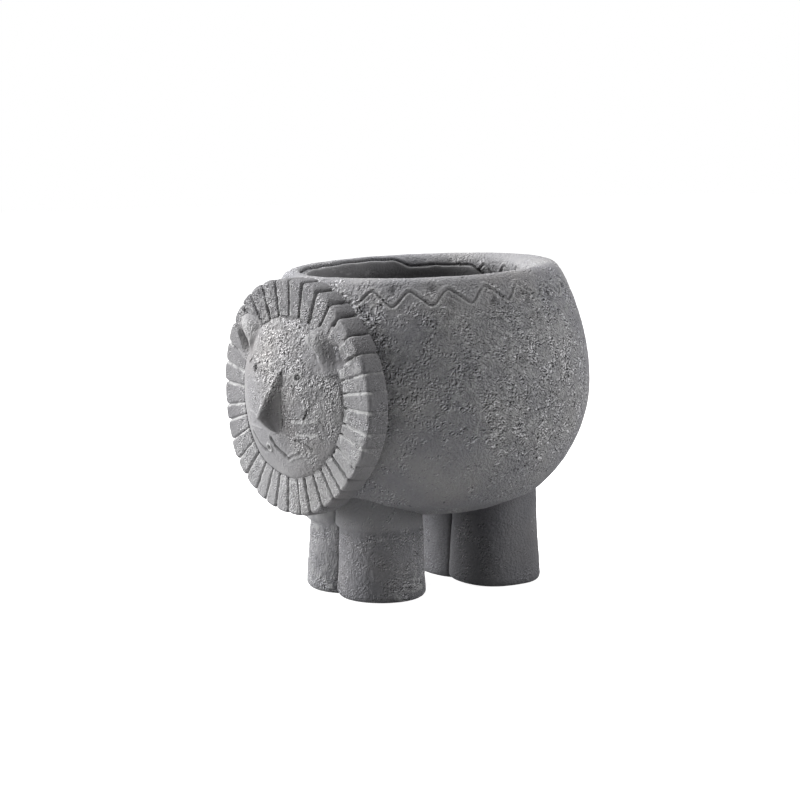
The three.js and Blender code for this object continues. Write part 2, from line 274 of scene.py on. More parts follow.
def make_piece(name, node, finish, grid, marks, closed=False, flat=()):
    """A mesh from a grid in millimetres, with its marks as point attributes, riding on the body.
    Rows listed in flat are shaded flat, which keeps a hidden cut from bending the normals beside it."""
    rows, columns = grid.shape[:2]
    points = grid.reshape(-1, 3)
    values = {key: np.broadcast_to(mark, (rows, columns)).ravel() for key, mark in marks.items()}
    if not closed:
        points = np.concatenate((points, grid[0].mean(0)[None], grid[-1].mean(0)[None]))
        for key, value in values.items():
            values[key] = np.concatenate((value, [value[:columns].mean(), value[-columns:].mean()]))
    quads, triangles = faces_of(rows, columns, closed)
    if volume_of(points, quads, triangles) < 0:
        quads, triangles = quads[:, ::-1], triangles[:, ::-1]
    mesh = bpy.data.meshes.new(name)
    mesh.from_pydata((points * MM).tolist(), [], quads.tolist() + triangles.tolist())
    round_shading = np.ones(len(mesh.polygons), bool)
    for row in flat:
        round_shading[row * columns:(row + 1) * columns] = False
    mesh.polygons.foreach_set("use_smooth", round_shading)
    for key, value in values.items():
        mesh.attributes.new(key, "FLOAT", "POINT").data.foreach_set("value", value.astype(np.float32))
    mesh.materials.append(finish)
    mesh.update()
    piece = placed(name, mesh)
    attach(piece, "root")
    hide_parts(node)
    low, high = points.min(0), points.max(0)
    print(name, 2 * len(quads) + len(triangles), "triangles", np.round(low, 1), np.round(high, 1))


# %% [markdown]
# ## The cement finish
# Dry cement has no gloss. Its colour wanders between two greys, with a faint brown bloom in places. Raised
# grains are chalky, and the pits hold dark dust. Three attributes on the points say where: a pale one for
# wear and painted highlights, a dark one for grime and painted shade, and coarse. The finest crinkles are too
# small for the mesh. The side of each that faces the lamps, up, forward and to the lion's right, is painted
# pale and the other side dark, as flecks of painted highlight and painted shade. They are also a bump, which
# is stronger where the surface is coarse. A painted picture could show all this, but it would stretch on
# round pieces.

# %% Shader helpers
def add(tree, kind, **settings):
    """A shader node with some of its sockets set by name."""
    made = tree.nodes.new(kind)
    for socket, value in settings.items():
        made.inputs[socket.replace("_", " ")].default_value = value
    return made


def plug(tree, value, socket):
    """Links an output to a socket, or sets the socket to a plain value."""
    if isinstance(value, bpy.types.NodeSocket):
        tree.links.new(value, socket)
    else:
        socket.default_value = value


def mixed(tree, blend, share, first, second):
    """Output of a colour mix. Share and colours are sockets or plain values. On this node they are inputs 0,
    6 and 7, and the mixed colour is output 2."""
    mix = tree.nodes.new("ShaderNodeMix")
    mix.data_type = "RGBA"
    mix.blend_type = blend
    for number, value in ((0, share), (6, first), (7, second)):
        plug(tree, value, mix.inputs[number])
    return mix.outputs[2]


def calculated(tree, operation, first, second):
    """Output of a calculation with two numbers or sockets."""
    math_node = tree.nodes.new("ShaderNodeMath")
    math_node.operation = operation
    plug(tree, first, math_node.inputs[0])
    plug(tree, second, math_node.inputs[1])
    return math_node.outputs[0]


def stretched(tree, value, low, high, to_low, to_high):
    """Output that follows a value from low..high to to_low..to_high, and stops at those ends."""
    span = add(tree, "ShaderNodeMapRange", From_Min=low, From_Max=high, To_Min=to_low, To_Max=to_high)
    tree.links.new(value, span.inputs["Value"])
    return span.outputs["Result"]


print("materials so far:", len(bpy.data.materials))

# %% Cement
# The direction that the painted light of the flecks comes from: up, forward and to the lion's right.
painted_light_from = (-0.45, -0.6, 0.7)
mottle_size, bloom_size, cluster_size, grain_size = 34, 60, 8, 1.2
brown_bloom = (1.0, 0.94, 0.87, 1)
chalk_and_highlight_grey = (0.6, 0.6, 0.6, 1)
dust_and_shade_grey = (0.2, 0.2, 0.2, 1)


def cement(name, dark, pale, sand, crinkle_size):
    """A matt cement between two greys. Sand is the depth of its grain, and crinkle_size the wavelength of its
    crinkles, in millimetres. A fleck is painted light: the height of the crinkles a step back from the light,
    less their height a step towards it, so the side of a crinkle that faces the light is painted pale and the
    other side dark. Small differences leave none, and the rest gather in clusters."""
    finish = bpy.data.materials.new(name)
    finish.use_nodes = True
    tree = finish.node_tree
    shader = tree.nodes["Principled BSDF"]
    shader.inputs["Roughness"].default_value = 0.92
    shader.inputs["Specular IOR Level"].default_value = 0.2
    place = tree.nodes.new("ShaderNodeTexCoord").outputs["Object"]

    def cloud(wavelength, detail, shift=0.0):
        """Noise of that wavelength, read further up and forward by the shift, both in millimetres."""
        moved = tree.nodes.new("ShaderNodeVectorMath")
        moved.inputs[1].default_value = [shift * part * MM for part in painted_light_from]
        tree.links.new(place, moved.inputs[0])
        texture = add(tree, "ShaderNodeTexNoise", Scale=1 / (wavelength * MM), Detail=detail, Roughness=0.6)
        tree.links.new(moved.outputs[0], texture.inputs["Vector"])
        return texture.outputs["Fac"]

    def crinkle(shift):
        """Ridges where a cloud crosses its middle: 1 on the crossing, falling to 0 beside it."""
        folded = calculated(tree, "SUBTRACT", cloud(crinkle_size, 0.8, shift), 0.5)
        return stretched(tree, calculated(tree, "ABSOLUTE", folded, 0.0), 0.0, 0.15, 1.0, 0.0)

    def mark(key):
        """One of the attributes on the points."""
        attribute = tree.nodes.new("ShaderNodeAttribute")
        attribute.attribute_name = key
        return attribute.outputs["Fac"]

    rough = mark("coarse")
    mottle = stretched(tree, cloud(mottle_size, 3.0), 0.35, 0.65, 0.0, 1.0)
    colour = mixed(tree, "MIX", mottle, (*dark, 1), (*pale, 1))
    bloom = stretched(tree, cloud(bloom_size, 3.0), 0.55, 0.72, 0.0, 0.35)
    colour = mixed(tree, "MULTIPLY", bloom, colour, brown_bloom)
    grain = cloud(grain_size, 1.0)
    colour = mixed(tree, "MULTIPLY", 1.0, colour, stretched(tree, grain, 0.3, 0.7, 0.95, 1.05))
    # Painted light: the flecks are paler on the side of each crinkle that faces the light and darker on the
    # other.
    step = 0.18 * crinkle_size
    slope = calculated(tree, "SUBTRACT", crinkle(-step), crinkle(step))
    slope = calculated(tree, "MULTIPLY", slope, stretched(tree, rough, 0, 1, 0.12, 1.0))
    clusters = stretched(tree, cloud(cluster_size, 2.0), 0.36, 0.62, 0.3, 1.35)
    slope = calculated(tree, "MULTIPLY", slope, clusters)
    lit = stretched(tree, slope, 0.2, 0.65, 0, 1.7)
    shaded = stretched(tree, slope, -0.6, -0.15, -0.9, 0)
    painted_light_fleck = calculated(tree, "ADD", calculated(tree, "ADD", lit, shaded), 1.0)
    colour = mixed(tree, "MULTIPLY", 1.0, colour, painted_light_fleck)
    # Paler where the surface is worn and where highlights are painted, darker where grime lies and where
    # shade is painted.
    colour = mixed(tree, "MIX", stretched(tree, mark("wear_and_highlight"), 0, 1, 0, 0.75), colour, chalk_and_highlight_grey)
    colour = mixed(tree, "MULTIPLY", stretched(tree, mark("grime_and_shade"), 0, 1, 0, 0.85), colour, dust_and_shade_grey)
    tree.links.new(colour, shader.inputs["Base Color"])

    fine = calculated(tree, "MULTIPLY", grain, stretched(tree, rough, 0, 1, 0.3, 0.7))
    crest = calculated(tree, "MULTIPLY", crinkle(0.0), rough)
    depth = calculated(tree, "ADD", fine, calculated(tree, "MULTIPLY", crest, 0.35))
    bump = add(tree, "ShaderNodeBump", Strength=1.0, Distance=sand * MM)
    tree.links.new(depth, bump.inputs["Height"])
    tree.links.new(bump.outputs["Normal"], shader.inputs["Normal"])
    return finish


# The flecks are painted highlight on the side that faces this way, and painted shade on the other.
print("lime lies on the side that faces", painted_light_from)

# %% Five finishes
# Body, head, mane and legs are one cement in lit and shaded copies: the body palest, as painted light on the
# shaded flank, and the mane and the legs darker, as painted shade. The coat is a layer of its own, darker,
# partly as painted shade inside the bowl.
body_cement_lit = cement("body_cement_lit", (0.278, 0.277, 0.295), (0.355, 0.35, 0.356), 1.7, 1.75)
head_cement = cement("head_cement", (0.258, 0.255, 0.264), (0.325, 0.321, 0.326), 1.2, 1.35)
mane_cement_shaded = cement("mane_cement_shaded", (0.203, 0.201, 0.211), (0.262, 0.259, 0.266), 1.2, 1.15)
leg_cement_shaded = cement("leg_cement_shaded", (0.175, 0.175, 0.189), (0.221, 0.22, 0.231), 1.2, 1.4)
coat_cement = cement("coat_cement", (0.168, 0.166, 0.173), (0.22, 0.218, 0.223), 0.6, 1.4)
finishes = (body_cement_lit, head_cement, mane_cement_shaded, leg_cement_shaded, coat_cement)
print("finishes:", [finish.name for finish in finishes])

# %% [markdown]
# ## The bowl
# The bowl was thrown or cast as a round belly, narrower at the rim. Its outline is two half ellipses that
# meet at the waist, with a rounded lip. A Screw modifier could turn that outline about the axis, but a grid
# of points can also lean and be worked on. The rim leans: its back is a little higher than its front.

# %% Outline of the bowl
def ellipse_arc(radius, drop, rise, start, end):
    """Points (radius, height) on an ellipse about the waist, flatter below it (drop) than above it (rise)."""
    angle = np.linspace(start, end, 400)
    height = np.where(angle < 0, drop, rise) * np.sin(angle)
    return np.stack((radius * np.cos(angle), waist_z + height), 1)


def evenly(path, spacing):
    """The same path with a point every spacing, its two ends included."""
    run = np.concatenate(([0], np.cumsum(np.linalg.norm(np.diff(path, axis=0), axis=1))))
    at = np.linspace(0, run[-1], max(2, round(run[-1] / spacing) + 1))
    return np.stack([np.interp(at, run, path[:, k]) for k in range(2)], 1)


def outer_arc(start, end):
    """Outer side of the bowl between two angles about the waist."""
    return ellipse_arc(bowl_radius, belly_drop, crown_rise, start, end)


def inner_arc(inset, start, end):
    """Inner side of the wall, or a line that lies further in by the inset."""
    thick = wall + inset
    return ellipse_arc(bowl_radius - thick, belly_drop - thick, crown_rise - thick, start, end)


def lip_arc(inset, start, end):
    """Part of the circle that rounds the lip, made larger by the inset."""
    angle = np.linspace(start, end, 200)
    radius = lip_radius + inset
    return np.stack((lip_reach + radius * np.cos(angle), lip_z + radius * np.sin(angle)), 1)


print("lip reaches", round(lip_reach, 1), "mm from the axis")

# %% Turning and leaning
def turned(path, turns):
    """Grid of a path (radius, height) turned about the axis: turn 0 is the lion's front, turn 90 its left.
    Also gives the unit normals of the turned path, to the right of its direction."""
    step = np.gradient(path, axis=0)
    step /= np.linalg.norm(step, axis=1, keepdims=True)
    side, front = np.sin(turns), -np.cos(turns)
    height = np.ones_like(turns)

    def swept(radius, level):
        """Each radius goes round as its sine and cosine shares, and each level stays as it is."""
        columns = (radius[:, None] * side, radius[:, None] * front, level[:, None] * height)
        return np.stack(columns, -1)

    return swept(path[:, 0], path[:, 1]), swept(step[:, 1], -step[:, 0])


rim_swell, swell_width = 1.6, 75


def lean(grid):
    """Above the waist each level tips up at the back and slips forward, the lip most. The rim also swells at
    its back. Then the bowl's axis moves to its place in the frame."""
    x, y, z = (grid[..., k] for k in range(3))
    share = smooth(waist_z, rim_z - wall, z)
    from_back = 180 - np.abs(np.degrees(np.arctan2(x, -y)))
    swell = rim_swell * bell(from_back, swell_width) * smooth(rim_z - 20, rim_z - 3, z)
    return np.stack((x, y - rim_forward * share + axis_y, z + rim_slope * share * y + swell), -1)


def full_turn(count):
    """Angles of one turn in radians, evenly spaced. The last stops a step short of the first."""
    return np.linspace(0, 2 * np.pi, count, endpoint=False)


def from_front(turns):
    """Turns in degrees from the lion's front, up to 180 to its left and -180 to its right."""
    return (np.degrees(turns) + 180) % 360 - 180


turns = full_turn(640)
degrees = from_front(turns)
print(len(turns), "columns go round the bowl")

# %% [markdown]
# ## The zigzag below the rim
# A line was drawn into the wet cement with a stick, up and down round the pot, with a finger dot above some
# valleys and a rough dab under some peaks. It could be a bump, but the stick pushed up a burr on both sides
# that catches the light, so the line is pressed into the mesh. The height of the line is a rounded triangle
# wave of the turn, with a slow wobble.

# %% Zigzag
zigzag_count = 24
zigzag_peak_at = 35.0
zigzag_low, zigzag_high = 146.0, 152.5
valley_lag = 1.2
mane_edge_turn = 29.0
groove_width, burr_offset = 0.5, 1.15
edge_offset, edge_width = 0.95, 0.45
dot_level, dot_radius = 152.6, 1.6
dab_level, dab_radius = 147.0, 2.3


def zigzag_height(turn):
    """Rounded triangle wave between the low and the high level. Its valleys come late, and a hand's wobble
    shifts it a little."""
    wobble = 0.6 * np.sin(np.radians(3 * turn + 200))
    phase = np.radians(zigzag_count * (turn - zigzag_peak_at + wobble))
    phase = phase - np.radians(zigzag_count * valley_lag / 2) * (1 - np.cos(phase))
    blunt = 0.78
    wave = np.arcsin(blunt * np.cos(phase)) / math.asin(blunt)
    middle = (zigzag_low + zigzag_high) / 2 + 0.4 * np.sin(np.radians(5 * turn + 40))
    return middle + (zigzag_high - zigzag_low) / 2 * wave


def zigzag(degrees, grid):
    """The drawn line, its burr, the painted highlight along its lower edge, and the dots and dabs beside it,
    from 0 to 1 each.
    """
    level = grid[..., 2]
    line = zigzag_height(degrees)
    reach = np.hypot(grid[:, :1, 0], grid[:, :1, 1])
    slope = np.gradient(line) / (np.gradient(np.unwrap(np.radians(degrees))) * reach)
    above = (level - line) / np.sqrt(1 + slope**2)
    distance = np.abs(above)
    drawn = smooth(mane_edge_turn, mane_edge_turn + 3, np.abs(degrees)) * (0.95 + 0.25 * noise(grid, 9, 30))
    groove = bell(distance, groove_width) * drawn
    burr = bell(distance - burr_offset, groove_width) * drawn
    edge = bell(above + edge_offset, edge_width) * drawn
    pitch = 360 / zigzag_count
    from_peak = (degrees - zigzag_peak_at - valley_lag + pitch / 2) % pitch - pitch / 2
    from_valley = (degrees - zigzag_peak_at - valley_lag) % pitch - pitch / 2
    to_side = np.radians(1) * reach
    rear = smooth(55, 80, np.abs(degrees))
    dot = bell(np.hypot(from_valley * to_side, level - dot_level), dot_radius) * drawn * (1 - rear)
    dab = bell(np.hypot(from_peak * to_side, level - dab_level), dab_radius) * drawn * rear
    return groove, burr, edge, dot, dab


zigzag_line = zigzag_height(degrees)
print("zigzag runs between", round(zigzag_line.min(), 1), "and", round(zigzag_line.max(), 1), "mm")

# %% [markdown]
# ## Rim and belly
# The bowl is one lump of cement, but its rim has the zigzag and the torn edge of the coat, and needs closer
# rows than the belly. One fine mesh would do, but would spend most of its points where nothing is drawn. So
# the bowl is two rings, which meet at a seam below the zigzag. One pattern runs on over both.

# %% Torn edge and broad lip
crest_drop, step_drop, hidden_drop, ragged_drop = 1.7, 4.2, 5.0, 0.35
broad_lip, broad_at, broad_width = 8.0, 140.0, 38


def crack_drop(degrees):
    """How far the torn edge of the inner coat lies below the crest of the rim, round the pot: just below it
    at one side, then a step down, and out of sight where the lip is broad."""
    step = smooth(-110, -121, degrees) + smooth(110, 160, degrees)
    broad = smooth(-152, -160, degrees) + smooth(60, 80, degrees)
    ragged = 0.5 * np.sin(np.radians(9 * degrees)) + 0.35 * np.sin(np.radians(23 * degrees + 50))
    return crest_drop + step_drop * step + hidden_drop * broad + ragged_drop * ragged


def lip_extra(degrees):
    """How much broader the lip is towards the inside, most at the lion's left and rear. The turn from there
    is wrapped, so that the two ends of the round meet."""
    return broad_lip * bell((degrees - broad_at + 180) % 360 - 180, broad_width)


def widened(grid, factor):
    """A grid widened or drawn in by a factor, with its heights kept."""
    return grid * np.stack((factor, factor, np.ones_like(factor)), -1)


def shrunk_inside(grid, degrees):
    """The inner side drawn in by the broader lip, fully at the lip and no longer some way down."""
    radius = np.hypot(grid[..., 0], grid[..., 1])
    share = smooth(rim_z - 45, rim_z - 10, grid[..., 2])
    share = share * smooth(lip_reach + 1, lip_reach - lip_radius, radius)
    return widened(grid, 1 - lip_extra(degrees) * share / radius)


edge_drops = crack_drop(np.array([-90.0, -135.0]))
print("torn edge lies", np.round(edge_drops, 1), "mm below the crest, before and after its step")

# %% Surface of the bowl
groove_depth, burr_height, dot_depth, dab_depth = 0.85, 0.4, 1.1, 0.9


def bowl_coarse(grid):
    """Where the bowl is stucco: most of the flank in patches, less at the back, at the rim and below."""
    level = grid[..., 2]
    band = (0.35 + 0.65 * smooth(50, 90, level)) * (1 - 0.4 * smooth(149, 156, level))
    patches = smooth(-0.45, 0.35, layered(grid, 34, 21, 3))
    calm = 1 - 0.45 * smooth(75, 165, np.abs(degrees))
    return band * calm * (0.4 + 0.6 * patches)


def bowl_relief(grid):
    """Worked surface of the bowl with the zigzag pressed into it."""
    height, marks = hand_worked(grid, bowl_coarse(grid))
    groove, burr, edge, dot, dab = zigzag(degrees, grid)
    ragged = 0.6 + 0.4 * noise(grid, 2.5, 31)
    dab = dab * smooth(-0.2, 0.25, noise(grid, 1.9, 32))
    height = height - groove_depth * groove + burr_height * burr - dot_depth * dot - dab_depth * dab
    # The groove is painted darker, as shade. The dots and dabs are darker marks.
    darken(marks, 0.1 * groove + 0.55 * dot + 1.2 * dab)
    # Painted highlight: the lower edge of the line and its burr, which face up towards the lamps, are painted
    # pale.
    add_wear_and_highlight(marks, (0.7 * edge + 0.3 * burr) * (0.4 + 0.6 * ragged))
    return height, marks


print("zigzag is pressed in by", groove_depth, "mm")

# %% Rim
seam_z = 139.0
seam_angle = math.asin((seam_z - waist_z) / crown_rise)
crack_width, crack_depth = 0.5, 1.5
under_coat = 0.4


def make_rim():
    """From the seam up the outside, over the lip and down inside as far as the coat covers it."""
    outside = evenly(outer_arc(seam_angle, lip_angle), 0.5)
    over = evenly(lip_arc(0, lip_angle, lip_angle + np.pi), 0.45)
    inside = evenly(inner_arc(0, lip_angle, seam_angle), 4.0)
    path = np.concatenate((outside, over[1:], inside[1:]))
    grid, normal = turned(path, turns)
    height, marks = bowl_relief(grid)
    covered = (np.arange(len(path)) >= len(outside) + len(over) - 1)[:, None]
    radius = np.hypot(grid[..., 0], grid[..., 1])
    on_lip = smooth(lip_reach + lip_radius, lip_reach + 2, radius)
    below = rim_z - grid[..., 2]
    hollow = radius < lip_reach
    crack = bell(below - crack_drop(degrees) + 0.4, crack_width) * hollow
    height = np.where(covered, -under_coat, height * (1 - 0.3 * on_lip) - crack_depth * crack)
    crest = bell(below - 0.5, 0.5) * hollow * bell((degrees + 130) % 360 - 180, 80)
    # Painted shade in the crack, and a painted highlight along the inner crest of the rim at the lion's left
    # front.
    darken(marks, 1.3 * crack)
    add_wear_and_highlight(marks, 0.8 * crest)
    grid = lean(shrunk_inside(grid + normal * height[..., None], degrees))
    flat = (len(path) - 1,)
    make_piece("bowl_rim", "pot_bowl", body_cement_lit, grid, marks, closed=True, flat=flat)


make_rim()

# %% Belly
bed_radius, belly_corner = 36.0, 55.0


def with_hidden_rows(marks, rows):
    """Marks with some rows of zeros after them, for a side that nobody sees."""
    return {key: np.concatenate((mark, np.zeros((rows, mark.shape[1])))) for key, mark in marks.items()}


def make_belly():
    """From the drain hole along the underside, round its slanted edge and up the outside to the seam. It
    returns inside the wall."""
    corner = outer_arc(-math.acos(belly_corner / bowl_radius), seam_angle)
    drain = np.array([[drain_radius, floor_z], [drain_radius, underside_z]])
    base = evenly(np.array([drain[1], [bed_radius, underside_z], corner[0]]), 1.6)
    outside = evenly(corner, 0.92)
    shown = np.concatenate((drain[:1], base, outside[1:]))
    back = evenly(inner_arc(0, seam_angle, -math.asin((waist_z - floor_z) / (belly_drop - wall))), 9.0)
    grid, normal = turned(shown, turns)
    height, marks = bowl_relief(grid)
    row = np.arange(len(grid))[:, None]
    grid = grid + normal * np.where(row < 3, 0, height)[..., None]
    hidden = turned(back, turns)[0]
    marks = with_hidden_rows(marks, len(hidden))
    grid = lean(np.concatenate((grid, hidden)))
    flat = (0, len(shown) - 1, len(grid) - 1)
    make_piece("bowl_belly", "pot_bowl", body_cement_lit, grid, marks, closed=True, flat=flat)


make_belly()

# %% [markdown]
# ## The sealing coat inside
# The inside was sealed with a thin smooth coat, torn off in a ragged line just below the crest. A shrunk copy
# of the bowl's inside would end in an even line. So the coat is a thin shell of its own: its outer side lies
# on the wall, its inner side stands a little proud, and both end at the torn edge. A trowel left faint level
# streaks on it.

# %% Inner coat
coat_thickness = 1.6
coat_columns = 480


def make_coat():
    """A shell from the drain hole over the floor and up the wall. Rows run up the inner side and down the
    outer side. Each column ends at its own height, so the last rows are moved to the torn edge."""
    round_turns = full_turn(coat_columns)
    angle = from_front(round_turns)
    inset = coat_thickness
    foot = -math.asin((waist_z - floor_z - inset) / (belly_drop - wall - inset))
    floor_edge = inner_arc(inset, foot, foot + 0.01)[0]
    base = evenly(np.array([[drain_radius, floor_z + inset], floor_edge]), 3.0)
    side = evenly(inner_arc(inset, foot, lip_angle), 1.6)
    top = evenly(lip_arc(inset, lip_angle + np.pi, lip_angle + np.pi * 0.55), 0.5)
    path = np.concatenate((base, side[1:], top[1:]))
    grid, normal = turned(path, round_turns)
    streaks = noise(grid * np.array([0.25, 0.25, 1.0]), 3.0, 41)
    height = 0.25 * noise(grid, 18, 42) + 0.12 * streaks + 0.1 * layered(grid, 4, 43, 2)
    grid = grid - normal * np.where(np.arange(len(path)) > 2, 1, 0)[:, None, None] * height[..., None]
    edge = rim_z - crack_drop(angle) - 0.3 + 0.35 * noise(grid[-1], 3.0, 44)
    over = np.maximum(grid[..., 2] - edge, 0)
    behind = normal * np.minimum(over * 2, coat_thickness)[..., None]
    grid[..., 2] -= over
    inner = grid + behind
    outer = inner[::-1] + normal[::-1] * coat_thickness * 0.9
    outer[:, :, 2] = np.minimum(outer[:, :, 2], inner[::-1][:, :, 2])
    shell = lean(shrunk_inside(np.concatenate((inner, outer)), angle))
    scratched = smooth(0.55, 0.8, noise(grid * np.array([0.4, 0.4, 1.4]), 2.2, 45))
    torn_edge_highlight = bell(edge - grid[..., 2], 1.0)
    chip_place = bell(angle + 158, 3) * bell(rim_z - 6 - grid[..., 2], 4)
    chipped = chip_place * smooth(0.1, 0.4, noise(grid, 2.0, 46))
    # Pale where scratched and chipped, with a painted highlight along the torn edge.
    wear_and_highlight = unit(0.25 * scratched + 0.35 * torn_edge_highlight + chipped)
    marks = {"wear_and_highlight": np.concatenate((wear_and_highlight, np.zeros_like(wear_and_highlight))), "grime_and_shade": 0.0, "coarse": 0.2}
    make_piece("coat", "inner_coat", coat_cement, shell, marks, closed=True)


make_coat()

# %% [markdown]
# ## The head
# Mane, face, nose and ears share one outline: a circle, widened sideways and swelling a little towards its
# corners. A point of the head is given by its radius and angle in that circle and by its distance from the
# bowl's axis towards the front. Behind, the pieces end inside the bowl's wall, where nobody sees them.

# %% Placing points on the head
def corner_swell(angle):
    """Factor by which the outline swells: it bulges at the corners of the right half and draws in at those of
    the left half, by a share of sin(2 angle) squared."""
    squareness = np.where(np.cos(angle) > 0, left_squareness, head_squareness)
    return 1 + squareness * np.sin(2 * angle) ** 2


def bend_at(x):
    """How far the head bends back at a place x: nothing on its right half, most at its left edge."""
    return head_bend * np.maximum(x, 0) / mane_half_width


def on_head(radius, angle, reach):
    """Points of the head: a circle that swells at its corners, is widened sideways and bends back."""
    swell = corner_swell(angle)
    x = radius * swell * head_stretch * np.cos(angle)
    z = head_z + radius * swell * np.sin(angle)
    return np.stack((x, axis_y - reach + bend_at(x), z), -1)


dome_rise = 11.0
face_edge_reach = mane_front - 0.8
dome_radius = (face_radius**2 + dome_rise**2) / (2 * dome_rise)
dome_middle = face_edge_reach + dome_rise - dome_radius


def dome_reach(x, z):
    """Distance of the face's dome from the bowl's axis at a place x, z of the frame."""
    flat_x, up = x / head_stretch, z - head_z
    radius = np.minimum(np.hypot(flat_x, up) / corner_swell(np.arctan2(up, flat_x)), dome_radius)
    return dome_middle + np.sqrt(dome_radius**2 - radius**2) - bend_at(x)


def head_reach(x, z):
    """Distance of the head's front from the bowl's axis: the dome, or the mane where that lies in front."""
    return np.maximum(dome_reach(x, z), mane_front - bend_at(x))


sunk = 4.0


def bowl_reach(x, z):
    """Distance of the bowl's outer side in front of its axis, at a place x, z of the frame."""
    half_height = np.where(z > waist_z, crown_rise, belly_drop)
    radius = bowl_radius * np.sqrt(unit(1 - ((z - waist_z) / half_height) ** 2))
    return np.sqrt(np.clip(radius**2 - x**2, 0, None))


def bedded(grid):
    """A piece of the head, ended inside the bowl's wall: points that lie deeper are drawn back to it."""
    x, y, z = (grid[..., k] for k in range(3))
    reach = np.maximum(axis_y - y, bowl_reach(x, z) - sunk)
    return np.stack((x, axis_y - reach, z), -1)


print("dome stands", round(dome_rise, 1), "mm over the edge of the face")

# %% [markdown]
# ## The mane
# The mane is a thick ring with radial locks. A maker presses the grooves between them with a blade, never
# quite evenly, and the ends of the locks stay rounded. One lock could be modelled and copied round, but then
# all would be alike. Here each groove has its own angle and depth, and the distance of a point to its nearest
# groove shapes everything: the groove, the swelling of the lock and the scalloped outer edge.

# %% Locks of the mane
lock_count = 36
lock_lead, lock_crowding, crowded_at = 3.7, 5.4, 114.0
lock_numbers = np.arange(-1, lock_count + 2)


def lock_random(seed):
    """A number from 0 to 1 for each lock, and the same again after a full turn."""
    return hashed(np.stack((lock_numbers % lock_count, 0 * lock_numbers, 0 * lock_numbers), -1), seed)


def groove_places():
    """Turn of each groove from the top of the head, in radians. They crowd together on one side, as a wave of
    the turn, and each is a little off."""
    even = 360 / lock_count * lock_numbers
    places = even + lock_lead + lock_crowding * np.cos(np.radians(even - crowded_at))
    return np.radians(places + 2.4 * (lock_random(51) - 0.5))


def locks_at(angle):
    """For each angle: its place across the lock from -1 to 1, the turn to the nearest groove, and the numbers
    of the lock and of that groove."""
    starts = groove_places()
    turn = np.mod(angle - np.pi / 2, 2 * np.pi)
    after = np.searchsorted(starts, turn)
    left, right = starts[after - 1], starts[after]
    across = 2 * (turn - left) / (right - left) - 1
    nearest = np.where(across < 0, after - 1, after)
    return across, np.minimum(turn - left, right - turn), after - 1, nearest


print("first grooves, degrees:", np.round(np.degrees(groove_places()[1:5]), 1))

# %% Section of the mane
mane_flank = 10.0
edge_rounding = 1.6
neck_radius, neck_undercut, neck_length = 44.0, 8.0, 31.0
neck_reach = mane_front - neck_length


def mane_path():
    """Section of the ring as (radius, reach), in stretches: hole, front, rounded edge, flank and neck."""
    edge, inner = mane_half_height, face_radius - 1
    bend = np.linspace(np.pi / 2, 0, 60)
    quarter = np.stack((np.cos(bend) - 1, np.sin(bend) - 1), 1)
    rounding = quarter * edge_rounding + np.array([edge, mane_front])
    flank_end = np.array([edge, mane_front - mane_flank])
    hole = np.array([[inner, neck_reach], [inner, mane_front - 9]])
    front = evenly(np.array([[inner, mane_front], rounding[0]]), 0.6)
    turn = evenly(rounding, 0.55)[1:]
    flank = evenly(np.array([rounding[-1], flank_end]), 0.7)[1:]
    under = [neck_radius, flank_end[1] - neck_undercut]
    neck = evenly(np.array([flank_end, under, [neck_radius, neck_reach]]), 1.2)[1:]
    return hole, front, turn, flank, neck


print("rows in each stretch of the mane:", [len(part) for part in mane_path()])

# %% Hollows for the ears
ear_shift = {"left": (-1.9, 0.8), "right": (2.0, 0.0)}
ear_slant = {"left": 0.5, "right": -0.6}
ear_pocket = 3.8
ear_half_width, ear_half_height = 15.5, 13.0
ear_middle = (-2.0, 0.5)


def ear_place(name):
    """Middle of an ear's pocket, and 1 or -1 for the side that it is on. The shift is outwards and up."""
    low, high = box_of(f"{name}_ear")
    side = 1 if name == "left" else -1
    outwards, up = ear_shift[name]
    return (low[0] + high[0]) / 2 + side * outwards, (low[2] + high[2]) / 2 + up, side


def ear_height(name, outwards, up):
    """Height of an ear over the head. A slanting ridge swells to a mound at its upper end. On its inner side
    it fades into the face. On its outer side it falls to a pocket, and rises again to the mane. Also how deep
    in the pocket a place is, from 0 to 1."""
    across = outwards + 5 + ear_slant[name] * up
    crest = 0.6 + 3.0 * smooth(-8, 4, up) * smooth(13, 6, up)
    fading = 2 + 3 * smooth(-2, 5, up)
    plateau = 3 * smooth(-2, 5, up)
    fall, rise = smooth(-0.5, 10.5, across), smooth(10, 13.5, across)
    pocket = smooth(7, 0, up) * smooth(-9, -1, up) * fall * (1 - rise)
    inner = crest * bell(np.maximum(-across - plateau, 0), fading)
    height = np.where(across < 0, inner, crest * (1 - smooth(-0.5, 7, across)))
    return height - ear_pocket * pocket, pocket


def ear_dent(x, z):
    """Depth of the hollows that the two ears were pressed into: a little deeper than their pockets, and
    fading out under the edge of the ear."""
    depth = 0
    for name in ear_shift:
        middle_x, middle_z, side = ear_place(name)
        outwards, up = side * (x - middle_x), z - middle_z
        pocket = ear_height(name, outwards, up)[1]
        share = np.hypot((outwards - ear_middle[0]) / ear_half_width, (up - ear_middle[1]) / ear_half_height)
        depth = depth + (ear_pocket + 2) * smooth(0.03, 0.3, pocket) * smooth(0.95, 0.8, share)
    return depth


print("pockets at x and z:", {name: np.round(ear_place(name)[:2], 1).tolist() for name in ear_shift})

# %% Mane
mane_columns = 1008
blocks_at, blocks_width = 46, 20


